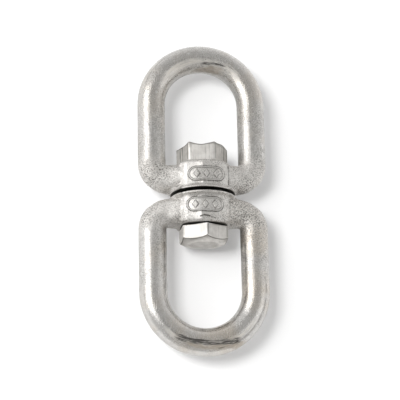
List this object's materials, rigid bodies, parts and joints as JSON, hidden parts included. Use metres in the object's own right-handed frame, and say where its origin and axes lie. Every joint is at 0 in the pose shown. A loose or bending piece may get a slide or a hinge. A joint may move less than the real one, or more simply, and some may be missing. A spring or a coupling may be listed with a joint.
{
  "type": "anchor swivel",
  "caption": "Cast steel eyes of round section that turn face to face on a hexagon bolt riveted into its nut.",
  "frame": {"origin": "centre of the swivel joint, on the swivel axis, midway between the joint faces of the two eyes", "axes": "+Y along the swivel axis towards the bow of the nut eye, +Z square to the flat of both eyes, +X across them"},
  "size_m": [0.0372, 0.093, 0.019],
  "materials": {
    "cast_stainless": "tumbled satin casting",
    "machined_stainless": "satin machined"
  },
  "bodies": {
    "nut_eye": {"nut_eye": "cast_stainless"},
    "bolt_and_nut": {"bolt": "machined_stainless", "nut": "machined_stainless"},
    "head_eye": {"head_eye": "cast_stainless"}
  },
  "joints": [
    {"name": "bolt_spin", "type": "hinge", "parent": "nut_eye", "child": "bolt_and_nut", "pos_m": [0, 0, 0], "axis": [0, 1, 0], "continuous": true},
    {"name": "head_eye_swivel", "type": "hinge", "parent": "bolt_and_nut", "child": "head_eye", "pos_m": [0, 0, 0], "axis": [0, 1, 0], "continuous": true}
  ]
}
